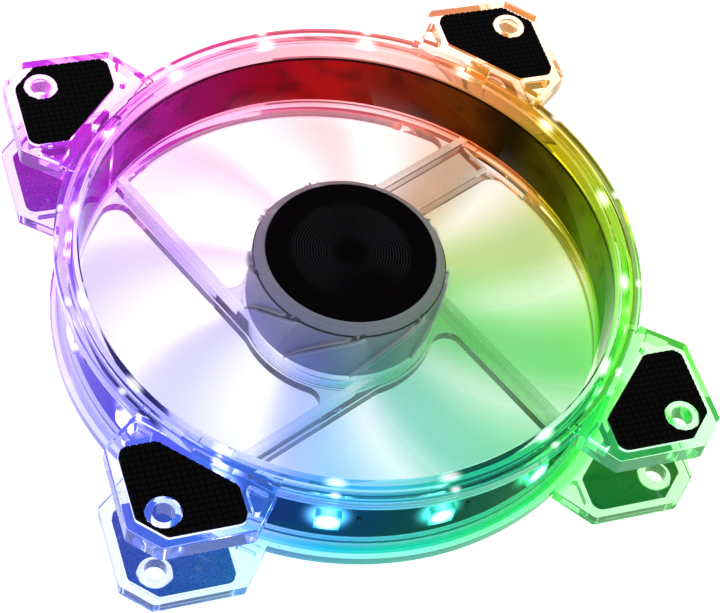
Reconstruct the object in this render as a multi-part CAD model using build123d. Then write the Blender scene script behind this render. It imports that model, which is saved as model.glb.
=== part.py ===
from build123d import *
import math
import os

# Clear-framed 120 mm case fan with a ring of LEDs in its frame.
# Millimetres. +Z is the fan's axis, from the rear (struts) to the front (hub label).
# The origin is on the axis at the rear face, where the rear pads rest.

# ---- overall size -------------------------------------------------------------
FAN_WIDTH = 120.0
FAN_DEPTH = 25.0
HALF_WIDTH = FAN_WIDTH / 2
HOLE_SPACING = 105.0
HOLE_OFFSET = HOLE_SPACING / 2
SCREW_HOLE_R = 2.2

# ---- corner pads ----------------------------------------------------------------
PAD_PROUD = 0.4
PAD_THICK = 1.6
PAD_CLEAR = 0.15
PAD_NEAR = 37.4
PAD_FAR = 57.8
PAD_CORNER_CUT = 4.9
PAD_INNER_CUT = 12.6
PAD_HOLE_R = 3.6
BOSS_R = 3.4

REAR_Z = PAD_PROUD
FRONT_Z = FAN_DEPTH - PAD_PROUD

# ---- frame mouldings ------------------------------------------------------------
DUCT_R = 55.0
DUCT_WALL = 1.1
DUCT_OUTER_R = DUCT_R + DUCT_WALL
DUCT_LIP_R = 57.4
DUCT_LIP_Z = 22.9
MOUTH_CHAMFER = 0.4
FLANGE_R = HALF_WIDTH
REAR_FLANGE_TOP = 3.0
FRONT_FLANGE_BOTTOM = 21.4
FRONT_RING_R = 57.6
SKIRT_INNER_R = 58.0
SKIRT_OUTER_R = 58.9
SKIRT_BOTTOM = 3.05
RIM_CHAMFER = 0.4
REAR_EAR_TOP = 3.4
FRONT_EAR_BOTTOM = 20.4
EAR_CHAMFER_CUT = 5.4
EAR_SHOULDER = 36.4
EAR_ROOT_NEAR = 30.2
EAR_ROOT_FAR = 52.2
EAR_EDGE_BREAK = 0.35
POCKET_FLOOR = 1.4
SNAP_WIDTH = 4.4
SNAP_R = 59.1
SNAP_THICK = 1.0
SNAP_GAP = 0.15
ROOT_MARK_SIZE = 1.8
ROOT_MARK_DEEP = 0.6
ROOT_MARK_R = 58.9
ROOT_MARK_ANGLE = 14.2
LIP_NOTCH_W = 5.0
LIP_NOTCH_DEEP = 1.2

# ---- struts and motor base ------------------------------------------------------
STRUT_COUNT = 4
STRUT_FIRST_ANGLE = 23.2
STRUT_OFFSET = 18.5
STRUT_FOOT_W = 3.2
STRUT_START = 3.0
STRUT_RIB_W = 2.8
STRUT_TOP_W = 1.7
STRUT_TOP_Z = 6.2
STRUT_WEB_TOP = 2.6
STRUT_FILLET_R = 3.5
CHANNEL_W = 10.2
CHANNEL_TOP_Z = 4.2
CHANNEL_WALL = 1.4
BASE_R = 20.45
BASE_FOOT_R = 20.9
BASE_WALL = 1.3
BASE_TOP_Z = 6.6
BEARING_TUBE_R = 4.3
BEARING_TUBE_BORE = 3.3
BEARING_TUBE_TOP = 17.4
REAR_LABEL_R = 16.5
REAR_LABEL_THICK = 0.2
REAR_LABEL_RECESS = 0.4
CABLE_SLOT_W = 4.6
CABLE_SLOT_TOP = 2.2
CABLE_SLOT_ANGLE = 26.6
CABLE_GROOVE_END = 40.0

# ---- rotor ----------------------------------------------------------------------
BLADE_COUNT = 9
BLADE_TIP_R = 53.8
BLADE_MID_Z = 14.6
BLADE_CAMBER = 2.2
BLADE_EDGE_THINNING = 0.55
# Blade stations: radius, half span across, rise, thickness, skew in degrees.
BLADE_STATIONS = [
    (17.0, 7.2, 12.8, 1.9, 0.0),
    (26.0, 9.6, 13.2, 1.7, 1.5),
    (36.0, 12.4, 12.6, 1.5, 5.0),
    (46.0, 15.4, 11.4, 1.3, 10.5),
    (56.0, 18.4, 10.2, 1.1, 18.0),
]
HUB_R = 20.0
HUB_WALL = 1.6
HUB_RIM_R = 19.7
HUB_STEP_Z = 20.9
HUB_SHOULDER_Z = 22.4
HUB_TOP_Z = 23.0
HUB_FLOOR_Z = 22.6
HUB_CEILING_Z = 21.2
HUB_BOTTOM_Z = 7.4
LABEL_R = 17.5
LABEL_THICK = 0.3
BOSS_OUTER_R = 3.4
BOSS_BOTTOM = 18.0
SHAFT_R = 1.5
SHAFT_FIT = 0.02
SHAFT_BOTTOM = 3.25
SHAFT_TOP = 21.0
CLIP_Z = 3.9
CLIP_THICK = 0.4
CLIP_BORE = 1.15
CLIP_R = 2.5
CLIP_MOUTH = 1.4
YOKE_R = 18.3
YOKE_WALL = 0.9
YOKE_BOTTOM = 7.9
YOKE_TOP = 21.1
MAGNET_R = 17.3
MAGNET_THICK = 2.2
MAGNET_BOTTOM = 8.4
MAGNET_TOP = 18.6

# ---- stator ---------------------------------------------------------------------
POLE_COUNT = 4
CORE_BORE_R = 4.35
CORE_HUB_R = 6.6
CORE_R = 14.5
CORE_SHOE = 1.4
CORE_BOTTOM = 9.6
CORE_TOP = 16.0
POLE_ARM_W = 4.0
SHOE_SPAN = 74.0
INSULATOR_THICK = 0.8
COIL_BUILD = 1.5
COIL_INNER_R = 7.2
COIL_OUTER_R = 12.2
GUARD_INNER_R = 12.85
GUARD_THICK = 0.7
GUARD_HEIGHT = 1.4
GUARD_W = 9.0
SLEEVE_BOTTOM = 4.7
SLEEVE_TOP = 16.7
SLEEVE_RUNNING_FIT = 0.03
SEAL_THICK = 0.5
BOARD_BOTTOM = STRUT_WEB_TOP + 2.0
BOARD_TOP = BOARD_BOTTOM + 1.0
BOARD_R = 15.2
BOARD_POST_AT = 12.0
BOARD_POST_R = 1.2
CHIP_AT = 12.4

# ---- LED ring -------------------------------------------------------------------
LED_COUNT = 16
LED_FIRST_ANGLE = 2.5
LED_SIZE = 5.0
LED_HEIGHT = 1.4
LED_Z = 12.4
STRIP_R = DUCT_OUTER_R + 0.05
STRIP_THICK = 0.2
STRIP_BOTTOM = 5.4
STRIP_TOP = 19.0
STRIP_SEAM_ANGLE = 135.7
STRIP_SEAM_W = 1.2
LEDGE_R = 57.2
LEDGE_THICK = 0.8
LEDGE_GAP = 0.25
RESISTOR_LEAD = 6.0


def polar(radius, angle):
    """Point in the fan's plane at a radius and an angle in degrees."""
    turn = math.radians(angle)
    return (radius * math.cos(turn), radius * math.sin(turn))


def disc(radius, z_low, z_high):
    """Solid cylinder about the fan's axis between two heights."""
    return Pos(0, 0, z_low) * Cylinder(
        radius, z_high - z_low, align=(Align.CENTER, Align.CENTER, Align.MIN)
    )


def ring(inner, outer, z_low, z_high):
    """Plain ring about the fan's axis between two heights."""
    return disc(outer, z_low, z_high) - disc(inner, z_low - 1, z_high + 1)


def turned(profile):
    """Revolve a closed (radius, height) outline about the fan's axis."""
    outline = make_face(Plane.XZ * Polyline(*profile, close=True))
    return revolve(outline, Axis.Z)


def block(length, width, z_low, z_high, centre=(0, 0)):
    """Box centred at a point in plan, between two heights."""
    return Pos(centre[0], centre[1], z_low) * Box(
        length, width, z_high - z_low, align=(Align.CENTER, Align.CENTER, Align.MIN)
    )


def rounded_plate(points, radii, z_low, z_high):
    """Extrude an outline whose corners are rounded by the radii given in the same order."""
    outline = Polyline(*points, close=True)
    face = make_face(outline)
    for point, radius in zip(points, radii):
        corner = face.vertices().sort_by_distance((point[0], point[1], 0))[0]
        face = fillet(corner, radius)
    return Pos(0, 0, z_low) * extrude(face, z_high - z_low)


def corner_angles():
    """Turns, in degrees, that carry the first corner to each of the four."""
    return [0, 90, 180, 270]


# ---- corner ears, pads, pockets ---------------------------------------------------
def ear_plate(inner, z_low, z_high):
    """Ear in the first corner: square corner cut at 45 degrees, sides sloping in to the ring."""
    cut = HALF_WIDTH - EAR_CHAMFER_CUT
    points = [
        (EAR_ROOT_FAR, EAR_ROOT_NEAR),
        (HALF_WIDTH, EAR_SHOULDER),
        (HALF_WIDTH, cut),
        (cut, HALF_WIDTH),
        (EAR_SHOULDER, HALF_WIDTH),
        (EAR_ROOT_NEAR, EAR_ROOT_FAR),
    ]
    face = make_face(Polyline(*points, close=True))
    outer = [v for v in face.vertices() if math.hypot(v.X, v.Y) > EAR_ROOT_FAR * 1.2]
    face = fillet(outer, 1.0)
    plate = Pos(0, 0, z_low) * extrude(face, z_high - z_low)
    return plate - disc(inner, z_low - 1, z_high + 1)


def pad_shape(grow, z_low, z_high):
    """Pad outline in the first corner, grown outward by a margin."""
    near = PAD_NEAR - grow
    far = PAD_FAR + grow
    outer_cut = PAD_CORNER_CUT + grow * 0.59
    inner_cut = PAD_INNER_CUT + grow * 0.59
    points = [
        (near + inner_cut, near),
        (far, near),
        (far, far - outer_cut),
        (far - outer_cut, far),
        (near, far),
        (near, near + inner_cut),
    ]
    return rounded_plate(points, (1.8, 2.2, 1.2, 1.2, 2.2, 1.8), z_low, z_high)


def pocket_pair(z_low, z_high):
    """The two three-cornered pockets between a pad, the ring and the ear's sloping sides."""
    points = [(36.1, 49.5), (32.2, 52.7), (36.1, 57.5)]
    mirrored = [(y, x) for x, y in reversed(points)]
    first = rounded_plate(points, (0.7, 0.7, 0.7), z_low, z_high)
    second = rounded_plate(mirrored, (0.7, 0.7, 0.7), z_low, z_high)
    return first + second


def snap_bar(grow, z_low, z_high):
    """Upright bar on the corner's diagonal, against the ring's outer wall."""
    middle = SNAP_R + SNAP_THICK / 2
    bar = block(SNAP_THICK + 2 * grow, SNAP_WIDTH + 2 * grow, z_low, z_high, (middle, 0))
    return Rot(0, 0, 45) * bar


def corner_hole(radius, z_low, z_high):
    """Cylinder on the first corner's screw axis."""
    return Pos(HOLE_OFFSET, HOLE_OFFSET, 0) * disc(radius, z_low, z_high)


def broken_edges(plate, height):
    """Round the outer edges of a plate where they meet the plane at a height."""
    edges = plate.faces().filter_by(Plane.XY).filter_by(
        lambda face: abs(face.center().Z - height) < 1e-6
    ).edges()
    outer = [e for e in edges if math.hypot(e.center().X, e.center().Y) > FLANGE_R + 2]
    return fillet(outer, EAR_EDGE_BREAK)


def front_ear():
    """Front ear with its pad recess, screw boss and pockets open to the front."""
    ear = broken_edges(ear_plate(SKIRT_INNER_R, FRONT_EAR_BOTTOM, FRONT_Z), FRONT_Z)
    recess_floor = FAN_DEPTH - PAD_THICK
    recess = pad_shape(PAD_CLEAR, recess_floor, FRONT_Z + 1)
    recess -= corner_hole(BOSS_R, recess_floor, FRONT_Z)
    ear -= recess
    ear -= pocket_pair(FRONT_EAR_BOTTOM + POCKET_FLOOR, FRONT_Z + 1)
    ear -= corner_hole(SCREW_HOLE_R, FRONT_EAR_BOTTOM - 1, FRONT_Z + 1)
    return ear


def rear_ear():
    """Rear ear with its pad recess, screw boss and pockets open to the rear."""
    ear = broken_edges(ear_plate(SKIRT_OUTER_R + 0.1, REAR_Z, REAR_EAR_TOP), REAR_Z)
    recess = pad_shape(PAD_CLEAR, REAR_Z - 1, PAD_THICK)
    recess -= corner_hole(BOSS_R, REAR_Z, PAD_THICK)
    ear -= recess
    ear -= pocket_pair(REAR_Z - 1, REAR_EAR_TOP - POCKET_FLOOR)
    ear -= corner_hole(SCREW_HOLE_R, REAR_Z - 1, REAR_EAR_TOP + 1)
    return ear


def corner_pad(z_low, z_high):
    """Rubber corner pad with a round hole that clears the screw boss."""
    return pad_shape(0, z_low, z_high) - corner_hole(PAD_HOLE_R, z_low - 1, z_high + 1)


# ---- frame mouldings -----------------------------------------------------------
def front_frame():
    """Front ring with its skirt over the LED channel, and the four front ears."""
    body = turned([
        (FRONT_RING_R, FRONT_FLANGE_BOTTOM),
        (SKIRT_INNER_R, FRONT_FLANGE_BOTTOM),
        (SKIRT_INNER_R, SKIRT_BOTTOM),
        (SKIRT_OUTER_R, SKIRT_BOTTOM),
        (SKIRT_OUTER_R, FRONT_FLANGE_BOTTOM),
        (FLANGE_R, FRONT_FLANGE_BOTTOM),
        (FLANGE_R, FRONT_Z - RIM_CHAMFER),
        (FLANGE_R - RIM_CHAMFER, FRONT_Z),
        (FRONT_RING_R, FRONT_Z),
    ])
    ear = front_ear()
    slot = snap_bar(SNAP_GAP, FRONT_EAR_BOTTOM - 1, FRONT_Z + 1)
    mark = block(ROOT_MARK_SIZE, ROOT_MARK_SIZE, FRONT_Z - ROOT_MARK_DEEP, FRONT_Z + 1,
                 (ROOT_MARK_R, 0))
    for angle in corner_angles():
        body += Rot(0, 0, angle) * ear
    for angle in corner_angles():
        body -= Rot(0, 0, angle) * slot
        for side in (-1, 1):
            body -= Rot(0, 0, angle + 45 + side * ROOT_MARK_ANGLE) * mark
    return body


def duct():
    """Duct wall with its chamfered mouth, front lip and the top of the rear flange."""
    return turned([
        (DUCT_R, STRUT_WEB_TOP),
        (FLANGE_R, STRUT_WEB_TOP),
        (FLANGE_R, REAR_FLANGE_TOP),
        (DUCT_OUTER_R, REAR_FLANGE_TOP),
        (DUCT_OUTER_R, DUCT_LIP_Z),
        (DUCT_LIP_R, DUCT_LIP_Z),
        (DUCT_LIP_R, FRONT_Z),
        (DUCT_R + MOUTH_CHAMFER, FRONT_Z),
        (DUCT_R, FRONT_Z - MOUTH_CHAMFER),
    ])


def strip_ledges():
    """Low ribs round the duct, just below and just above the LED strip."""
    lower_top = STRIP_BOTTOM - LEDGE_GAP
    upper_bottom = STRIP_TOP + LEDGE_GAP
    lower = ring(DUCT_OUTER_R - 0.1, LEDGE_R, lower_top - LEDGE_THICK, lower_top)
    upper = ring(DUCT_OUTER_R - 0.1, LEDGE_R, upper_bottom, upper_bottom + LEDGE_THICK)
    return lower + upper


def lip_notch():
    """Shallow notch in the duct's front lip, on the corner's diagonal."""
    middle = (DUCT_R + DUCT_LIP_R + 2) / 2
    notch = block(
        DUCT_LIP_R - DUCT_R, LIP_NOTCH_W, FRONT_Z - LIP_NOTCH_DEEP, FRONT_Z + 1, (middle, 0))
    return Rot(0, 0, 45) * notch


def strut_edges(number):
    """Low and high side of a strut's web, measured to the left of the axis."""
    half = STRUT_FOOT_W / 2
    if number == 0:
        return STRUT_OFFSET + half - CHANNEL_W, STRUT_OFFSET + half
    return STRUT_OFFSET - half, STRUT_OFFSET + half


def strut_turn(number):
    """Direction of a strut about the fan's axis, in degrees."""
    return STRUT_FIRST_ANGLE + 360 / STRUT_COUNT * number


def rear_plate():
    """Flat rear plate in one outline: flange, motor foot and strut webs with flared ends."""
    plan = Circle(FLANGE_R) - Circle(DUCT_R)
    plan += Circle(BASE_FOOT_R)
    joins = []
    for number in range(STRUT_COUNT):
        low, high = strut_edges(number)
        length = DUCT_R + 2
        web = Pos(length / 2, (low + high) / 2) * Rectangle(length, high - low)
        plan += Rot(0, 0, strut_turn(number)) * (web - Circle(BASE_FOOT_R / 2))
        for edge_y in (low, high):
            for radius in (BASE_FOOT_R, DUCT_R):
                angle = strut_turn(number) + math.degrees(math.asin(edge_y / radius))
                joins.append((*polar(radius, angle), 0))
    corners = [plan.vertices().sort_by_distance(join)[0] for join in joins]
    plan = fillet(corners, STRUT_FILLET_R)
    plate = Pos(0, 0, REAR_Z) * extrude(plan, STRUT_WEB_TOP - REAR_Z)
    rim_cut = turned([
        (FLANGE_R - RIM_CHAMFER, REAR_Z - 0.1),
        (FLANGE_R + 1, REAR_Z - 0.1),
        (FLANGE_R + 1, REAR_Z + RIM_CHAMFER),
        (FLANGE_R, REAR_Z + RIM_CHAMFER),
        (FLANGE_R - RIM_CHAMFER, REAR_Z),
    ])
    return plate - rim_cut


def strut_rib():
    """Tapered rib on a strut's web, along +X and set off to the left of the axis."""
    foot = STRUT_WEB_TOP - 1
    profile = Polyline(
        (-STRUT_RIB_W / 2, foot),
        (STRUT_RIB_W / 2, foot),
        (STRUT_TOP_W / 2, STRUT_TOP_Z),
        (-STRUT_TOP_W / 2, STRUT_TOP_Z),
        close=True,
    )
    end = math.sqrt((DUCT_R + DUCT_WALL / 2) ** 2 - STRUT_OFFSET ** 2)
    side = Plane((STRUT_START, STRUT_OFFSET, 0), x_dir=(0, 1, 0), z_dir=(1, 0, 0))
    rib = extrude(side * make_face(profile), end - STRUT_START)
    return rib - disc(BASE_R - BASE_WALL / 2, REAR_Z, STRUT_TOP_Z + 1)


def channel_block(margin, z_low, z_high):
    """Straight block over the lead's channel, narrower than the wide strut by a margin."""
    low, high = strut_edges(0)
    middle = (low + high) / 2
    end = math.sqrt((DUCT_R + DUCT_WALL / 2) ** 2 - high ** 2)
    beam = block(end - STRUT_START, high - low - 2 * margin, z_low, z_high,
                 ((STRUT_START + end) / 2, middle))
    return beam - disc(BASE_R - BASE_WALL / 2 + margin, z_low - 1, z_high + 1)


def motor_base():
    """Motor cup above the foot: low wall, bearing tube, floor and three board posts."""
    base = turned([
        (0, REAR_Z + 0.5),
        (BASE_R, REAR_Z + 0.5),
        (BASE_R, BASE_TOP_Z - 0.3),
        (BASE_R - 0.3, BASE_TOP_Z),
        (BASE_R - BASE_WALL, BASE_TOP_Z),
        (BASE_R - BASE_WALL, STRUT_WEB_TOP),
        (BEARING_TUBE_R, STRUT_WEB_TOP),
        (BEARING_TUBE_R, BEARING_TUBE_TOP),
        (BEARING_TUBE_BORE, BEARING_TUBE_TOP),
        (BEARING_TUBE_BORE, STRUT_WEB_TOP),
        (0, STRUT_WEB_TOP),
    ])
    for angle in (30, 150, 270):
        x, y = polar(BOARD_POST_AT, angle)
        base += Pos(x, y, 0) * disc(BOARD_POST_R, STRUT_WEB_TOP - 0.2, BOARD_BOTTOM)
    return base


def cable_exit():
    """Groove in the rear flange from the channel to a slot in the rim beside the ear."""
    inner = DUCT_R + 1.2
    groove = ring(inner, inner + 2.5, REAR_Z - 1, CABLE_SLOT_TOP)
    far = 2 * FLANGE_R
    sector = make_face(Polyline(
        (0, 0), polar(far, CABLE_SLOT_ANGLE), polar(far, CABLE_GROOVE_END), close=True))
    groove &= Pos(0, 0, REAR_Z - 1) * extrude(sector, CABLE_SLOT_TOP + 1)
    reach = FLANGE_R + 2 - inner
    slot = block(reach, CABLE_SLOT_W, REAR_Z - 1, CABLE_SLOT_TOP, (inner + reach / 2, 0))
    return groove + Rot(0, 0, CABLE_SLOT_ANGLE) * slot


def rear_frame():
    """Duct, rear flange, rear ears, struts and motor base, moulded in one piece."""
    body = rear_plate() + duct() + strip_ledges()
    ear = rear_ear()
    post = snap_bar(0, REAR_EAR_TOP - 0.5, FRONT_Z - 0.4)
    notch = lip_notch()
    for angle in corner_angles():
        body += Rot(0, 0, angle) * ear
        body += Rot(0, 0, angle) * post
        body -= Rot(0, 0, angle) * notch
    for number in range(STRUT_COUNT):
        body += Rot(0, 0, strut_turn(number)) * strut_rib()
    body += Rot(0, 0, STRUT_FIRST_ANGLE) * channel_block(0, STRUT_WEB_TOP - 0.5, CHANNEL_TOP_Z)
    body += motor_base()
    body -= disc(REAR_LABEL_R + 0.3, REAR_Z - 1, REAR_Z + REAR_LABEL_RECESS)
    channel = channel_block(CHANNEL_WALL, REAR_Z - 1, CHANNEL_TOP_Z - CHANNEL_WALL)
    body -= Rot(0, 0, STRUT_FIRST_ANGLE) * channel
    body -= cable_exit()
    return body


# ---- rotor ----------------------------------------------------------------------
def hub_cup():
    """Hub cup: label recess, sloping shoulder with a fine line round it, small step, skirt and shaft boss."""
    cup = turned([
        (0, HUB_FLOOR_Z),
        (LABEL_R + 0.15, HUB_FLOOR_Z),
        (LABEL_R + 0.15, HUB_TOP_Z - 0.1),
        (LABEL_R + 0.25, HUB_TOP_Z),
        (LABEL_R + 0.5, HUB_TOP_Z),
        (LABEL_R + 1.1, HUB_SHOULDER_Z + 0.2),
        (LABEL_R + 1.15, HUB_SHOULDER_Z),
        (HUB_RIM_R - 0.55, HUB_SHOULDER_Z - 0.35),
        (HUB_RIM_R - 0.15, HUB_STEP_Z + 0.55),
        (HUB_RIM_R, HUB_STEP_Z + 0.1),
        (HUB_RIM_R, HUB_STEP_Z),
        (HUB_R, HUB_STEP_Z - 0.2),
        (HUB_R, HUB_BOTTOM_Z),
        (HUB_R - HUB_WALL, HUB_BOTTOM_Z),
        (HUB_R - HUB_WALL, HUB_CEILING_Z),
        (BOSS_OUTER_R, HUB_CEILING_Z),
        (BOSS_OUTER_R, BOSS_BOTTOM),
        (SHAFT_R + SHAFT_FIT, BOSS_BOTTOM),
        (SHAFT_R + SHAFT_FIT, SHAFT_TOP + SHAFT_FIT),
        (0, SHAFT_TOP + SHAFT_FIT),
    ])
    return cup


def blade_section(radius, half_span, rise, thickness, skew):
    """Cambered section on a plane tangent to a radius, leading edge forward and up."""
    stations = (-1.0, -0.55, 0.0, 0.55, 1.0)
    upper = []
    lower = []
    for s in stations:
        across = s * half_span
        height = s * rise / 2 + BLADE_CAMBER * (1 - s * s)
        half = thickness / 2 * (1 - BLADE_EDGE_THINNING * s * s)
        upper.append((across, height + half))
        lower.append((across, height - half))
    front = Line(upper[-1], lower[-1])
    back = Line(lower[0], upper[0])
    face = make_face([Spline(*upper), front, Spline(*reversed(lower)), back])
    turn = math.radians(skew)
    origin = (radius * math.cos(turn), radius * math.sin(turn), BLADE_MID_Z)
    sideways = (-math.sin(turn), math.cos(turn), 0)
    outward = (math.cos(turn), math.sin(turn), 0)
    return Plane(origin, x_dir=sideways, z_dir=outward) * face


def blade():
    """One swept blade from the hub wall to the tip circle."""
    sections = [
        blade_section(radius, half_span, rise, thickness, skew)
        for radius, half_span, rise, thickness, skew in BLADE_STATIONS
    ]
    solid = loft(sections)
    solid &= disc(BLADE_TIP_R, 0, FAN_DEPTH)
    return solid - disc(HUB_R - HUB_WALL / 2, 0, FAN_DEPTH)


def impeller():
    """Hub cup and blades, moulded in one piece."""
    body = hub_cup()
    one = blade()
    for number in range(BLADE_COUNT):
        body += Rot(0, 0, 360 / BLADE_COUNT * number) * one
    return body


def hub_label():
    """Thin glossy disc in the hub's recess."""
    return disc(LABEL_R, HUB_FLOOR_Z, HUB_FLOOR_Z + LABEL_THICK)


def rotor_yoke():
    """Drawn steel cup that closes the magnet's field."""
    gap = BOSS_OUTER_R + 0.1
    return turned([
        (gap, YOKE_TOP - YOKE_WALL),
        (YOKE_R - YOKE_WALL, YOKE_TOP - YOKE_WALL),
        (YOKE_R - YOKE_WALL, YOKE_BOTTOM),
        (YOKE_R, YOKE_BOTTOM),
        (YOKE_R, YOKE_TOP - 0.8),
        (YOKE_R - 0.8, YOKE_TOP),
        (gap, YOKE_TOP),
    ])


def rotor_magnet():
    """Ring magnet inside the yoke."""
    return ring(MAGNET_R - MAGNET_THICK, MAGNET_R, MAGNET_BOTTOM, MAGNET_TOP)


def shaft():
    """Steel shaft with a rounded lower end and a groove for its clip."""
    body = turned([
        (0, SHAFT_BOTTOM),
        (0.7, SHAFT_BOTTOM + 0.1),
        (SHAFT_R, SHAFT_BOTTOM + 0.5),
        (SHAFT_R, CLIP_Z - 0.05),
        (CLIP_BORE - 0.05, CLIP_Z - 0.05),
        (CLIP_BORE - 0.05, CLIP_Z + CLIP_THICK + 0.05),
        (SHAFT_R, CLIP_Z + CLIP_THICK + 0.05),
        (SHAFT_R, SHAFT_TOP - 0.3),
        (SHAFT_R - 0.3, SHAFT_TOP),
        (0, SHAFT_TOP),
    ])
    return body


def retaining_clip():
    """Split washer that snaps into the shaft's groove."""
    clip = ring(CLIP_BORE, CLIP_R, CLIP_Z, CLIP_Z + CLIP_THICK)
    return clip - block(2 * CLIP_R, CLIP_MOUTH, CLIP_Z - 1, CLIP_Z + 1, (CLIP_R, 0))


# ---- motor parts on the frame -------------------------------------------------------
def bearing_sleeve():
    """Oil-filled sintered sleeve, chamfered at both mouths."""
    bore = SHAFT_R + SLEEVE_RUNNING_FIT
    outer = BEARING_TUBE_BORE - 0.04
    return turned([
        (bore + 0.3, SLEEVE_BOTTOM),
        (outer - 0.3, SLEEVE_BOTTOM),
        (outer, SLEEVE_BOTTOM + 0.3),
        (outer, SLEEVE_TOP - 0.3),
        (outer - 0.3, SLEEVE_TOP),
        (bore + 0.3, SLEEVE_TOP),
        (bore, SLEEVE_TOP - 0.3),
        (bore, SLEEVE_BOTTOM + 0.3),
    ])


def thrust_pad():
    """Low-friction disc that the shaft's end turns on."""
    return disc(BEARING_TUBE_BORE - 0.05, STRUT_WEB_TOP, SHAFT_BOTTOM - 0.03)


def oil_seal():
    """Ring that keeps the oil in the sleeve."""
    return ring(SHAFT_R + 0.1, BEARING_TUBE_BORE - 0.05, SLEEVE_TOP + 0.05,
                SLEEVE_TOP + 0.05 + SEAL_THICK)


def pole_plan(arm_width, shoe_width, grow):
    """Plan of the four-pole core: centre ring, arms and curved shoes."""
    plan = Circle(CORE_HUB_R) - Circle(CORE_BORE_R + grow)
    arm_length = CORE_R - CORE_SHOE / 2 - CORE_BORE_R - 1
    for number in range(POLE_COUNT):
        angle = 360 / POLE_COUNT * number + 45
        centre = CORE_BORE_R + 1 + arm_length / 2
        plan += Rot(0, 0, angle) * Pos(centre, 0) * Rectangle(arm_length, arm_width)
        shoe = Circle(CORE_R - grow) - Circle(CORE_R - shoe_width)
        half = SHOE_SPAN / 2
        far = 2 * CORE_R
        wedge = make_face(Polyline((0, 0), polar(far, -half), polar(far, half), close=True))
        plan += Rot(0, 0, angle) * (shoe & wedge)
    return plan


def stator_core():
    """Stack of electrical-steel laminations."""
    plan = pole_plan(POLE_ARM_W, CORE_SHOE, 0)
    return Pos(0, 0, CORE_BOTTOM) * extrude(plan, CORE_TOP - CORE_BOTTOM)


def insulator(z_low, z_high, flange_low, flange_high):
    """Moulded bobbin half: plate over the core and guard walls at the coils' ends."""
    plate = Pos(0, 0, z_low) * extrude(pole_plan(POLE_ARM_W, CORE_SHOE, 0.05), z_high - z_low)
    guard = ring(GUARD_INNER_R, GUARD_INNER_R + GUARD_THICK, flange_low, flange_high)
    guard += ring(CORE_HUB_R - 0.8, CORE_HUB_R, flange_low, flange_high)
    walls = None
    for number in range(POLE_COUNT):
        angle = 360 / POLE_COUNT * number + 45
        window = Rot(0, 0, angle) * block(
            2 * CORE_R, GUARD_W, flange_low, flange_high, (CORE_R, 0))
        piece = guard & window
        walls = piece if walls is None else walls + piece
    return plate + walls


def coil(number):
    """Copper winding round one arm, with rounded corners."""
    inner_y = POLE_ARM_W / 2 + 0.05
    inner_low = CORE_BOTTOM - INSULATOR_THICK - 0.05
    inner_high = CORE_TOP + INSULATOR_THICK + 0.05
    height = inner_high - inner_low
    outline = RectangleRounded(2 * (inner_y + COIL_BUILD), height + 2 * COIL_BUILD, COIL_BUILD)
    outline -= Rectangle(2 * inner_y, height)
    face = Plane((COIL_INNER_R, 0, (inner_low + inner_high) / 2), x_dir=(0, 1, 0),
                 z_dir=(1, 0, 0)) * outline
    winding = extrude(face, COIL_OUTER_R - COIL_INNER_R)
    return Rot(0, 0, 360 / POLE_COUNT * number + 45) * winding


def motor_board():
    """Round circuit board with a hole over the bearing tube and three post holes."""
    return ring(BEARING_TUBE_R + 0.3, BOARD_R, BOARD_BOTTOM, BOARD_TOP)


def driver_chip():
    """Flat driver chip with its legs, on the board's front side under the magnet."""
    x, y = polar(CHIP_AT, 0)
    body = block(2.9, 4.9, BOARD_TOP + 0.15, BOARD_TOP + 1.25, (x, y))
    for side in (-1, 1):
        for leg in (-1.5, -0.5, 0.5, 1.5):
            body += block(0.9, 0.4, BOARD_TOP, BOARD_TOP + 0.3, (x + side * 1.75, y + leg))
    return body


def board_capacitor():
    """Surface-mount capacitor beside the chip."""
    x, y = polar(CHIP_AT, 90)
    return block(3.2, 1.6, BOARD_TOP, BOARD_TOP + 1.2, (x, y))


def board_resistors():
    """Three small chip resistors on the board."""
    parts = []
    for angle in (160, 180, 200):
        x, y = polar(CHIP_AT, angle)
        parts.append(block(1.6, 0.8, BOARD_TOP, BOARD_TOP + 0.5, (x, y)))
    return Compound(children=parts)


def rear_label():
    """Blank sticker in the recess behind the motor."""
    top = REAR_Z + REAR_LABEL_RECESS
    return disc(REAR_LABEL_R, top - REAR_LABEL_THICK, top)


# ---- LED ring -----------------------------------------------------------------------
def led_strip():
    """Flexible circuit wrapped round the duct, with a narrow seam."""
    band = ring(STRIP_R, STRIP_R + STRIP_THICK, STRIP_BOTTOM, STRIP_TOP)
    seam = block(4, STRIP_SEAM_W, STRIP_BOTTOM - 1, STRIP_TOP + 1, (STRIP_R, 0))
    return band - Rot(0, 0, STRIP_SEAM_ANGLE) * seam


def led(number):
    """Square LED package facing outward, with a round emitting well."""
    inner = STRIP_R + STRIP_THICK + 0.02
    body = Pos(inner + LED_HEIGHT / 2, 0, LED_Z) * Box(LED_HEIGHT, LED_SIZE, LED_SIZE)
    well = Pos(inner + LED_HEIGHT, 0, LED_Z) * Rot(0, 90, 0) * Cylinder(2.0, 0.5)
    return Rot(0, 0, led_angle(number)) * (body - well)


def led_angle(number):
    """Angle of an LED about the fan's axis, in degrees."""
    return LED_FIRST_ANGLE + 360 / LED_COUNT * number


def strip_resistors():
    """Chip resistors beside the LEDs, one for each, well inside the channel."""
    parts = []
    inner = STRIP_R + STRIP_THICK + 0.03
    for number in range(LED_COUNT):
        chip = Pos(inner + 0.25, 0, LED_Z) * Box(0.5, 0.8, 1.6)
        parts.append(Rot(0, 0, led_angle(number) + RESISTOR_LEAD) * chip)
    return Compound(children=parts)


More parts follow.
